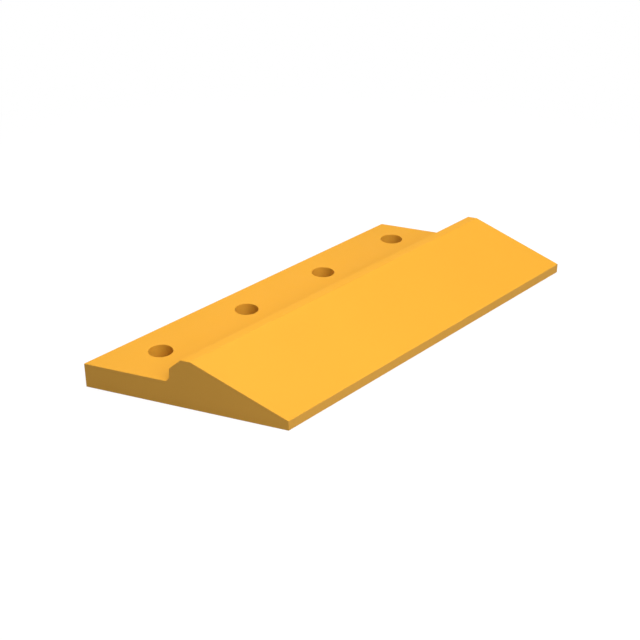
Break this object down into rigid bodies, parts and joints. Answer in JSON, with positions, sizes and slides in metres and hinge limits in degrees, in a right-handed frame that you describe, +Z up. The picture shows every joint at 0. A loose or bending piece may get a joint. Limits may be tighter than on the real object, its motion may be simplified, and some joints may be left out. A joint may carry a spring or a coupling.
{
  "type": "bucket side cutter",
  "caption": "Bolt-on side cutter for an excavator bucket: a thick steel bar with slanted ends, a drilled bolting flange, a raised ridge and a long slope down to a blunt cutting edge.",
  "frame": {"origin": "on the flat mounting face, in the middle of the row of four bolt holes", "axes": "+X along the row of holes and the bolting edge, +Y towards the bolting edge and away from the cutting edge, +Z up from the mounting face through the flange"},
  "size_m": [0.5074, 0.193, 0.0508],
  "materials": {
    "paint": "satin"
  },
  "bodies": {
    "root": {"side_cutter": "paint"}
  },
  "joints": []
}
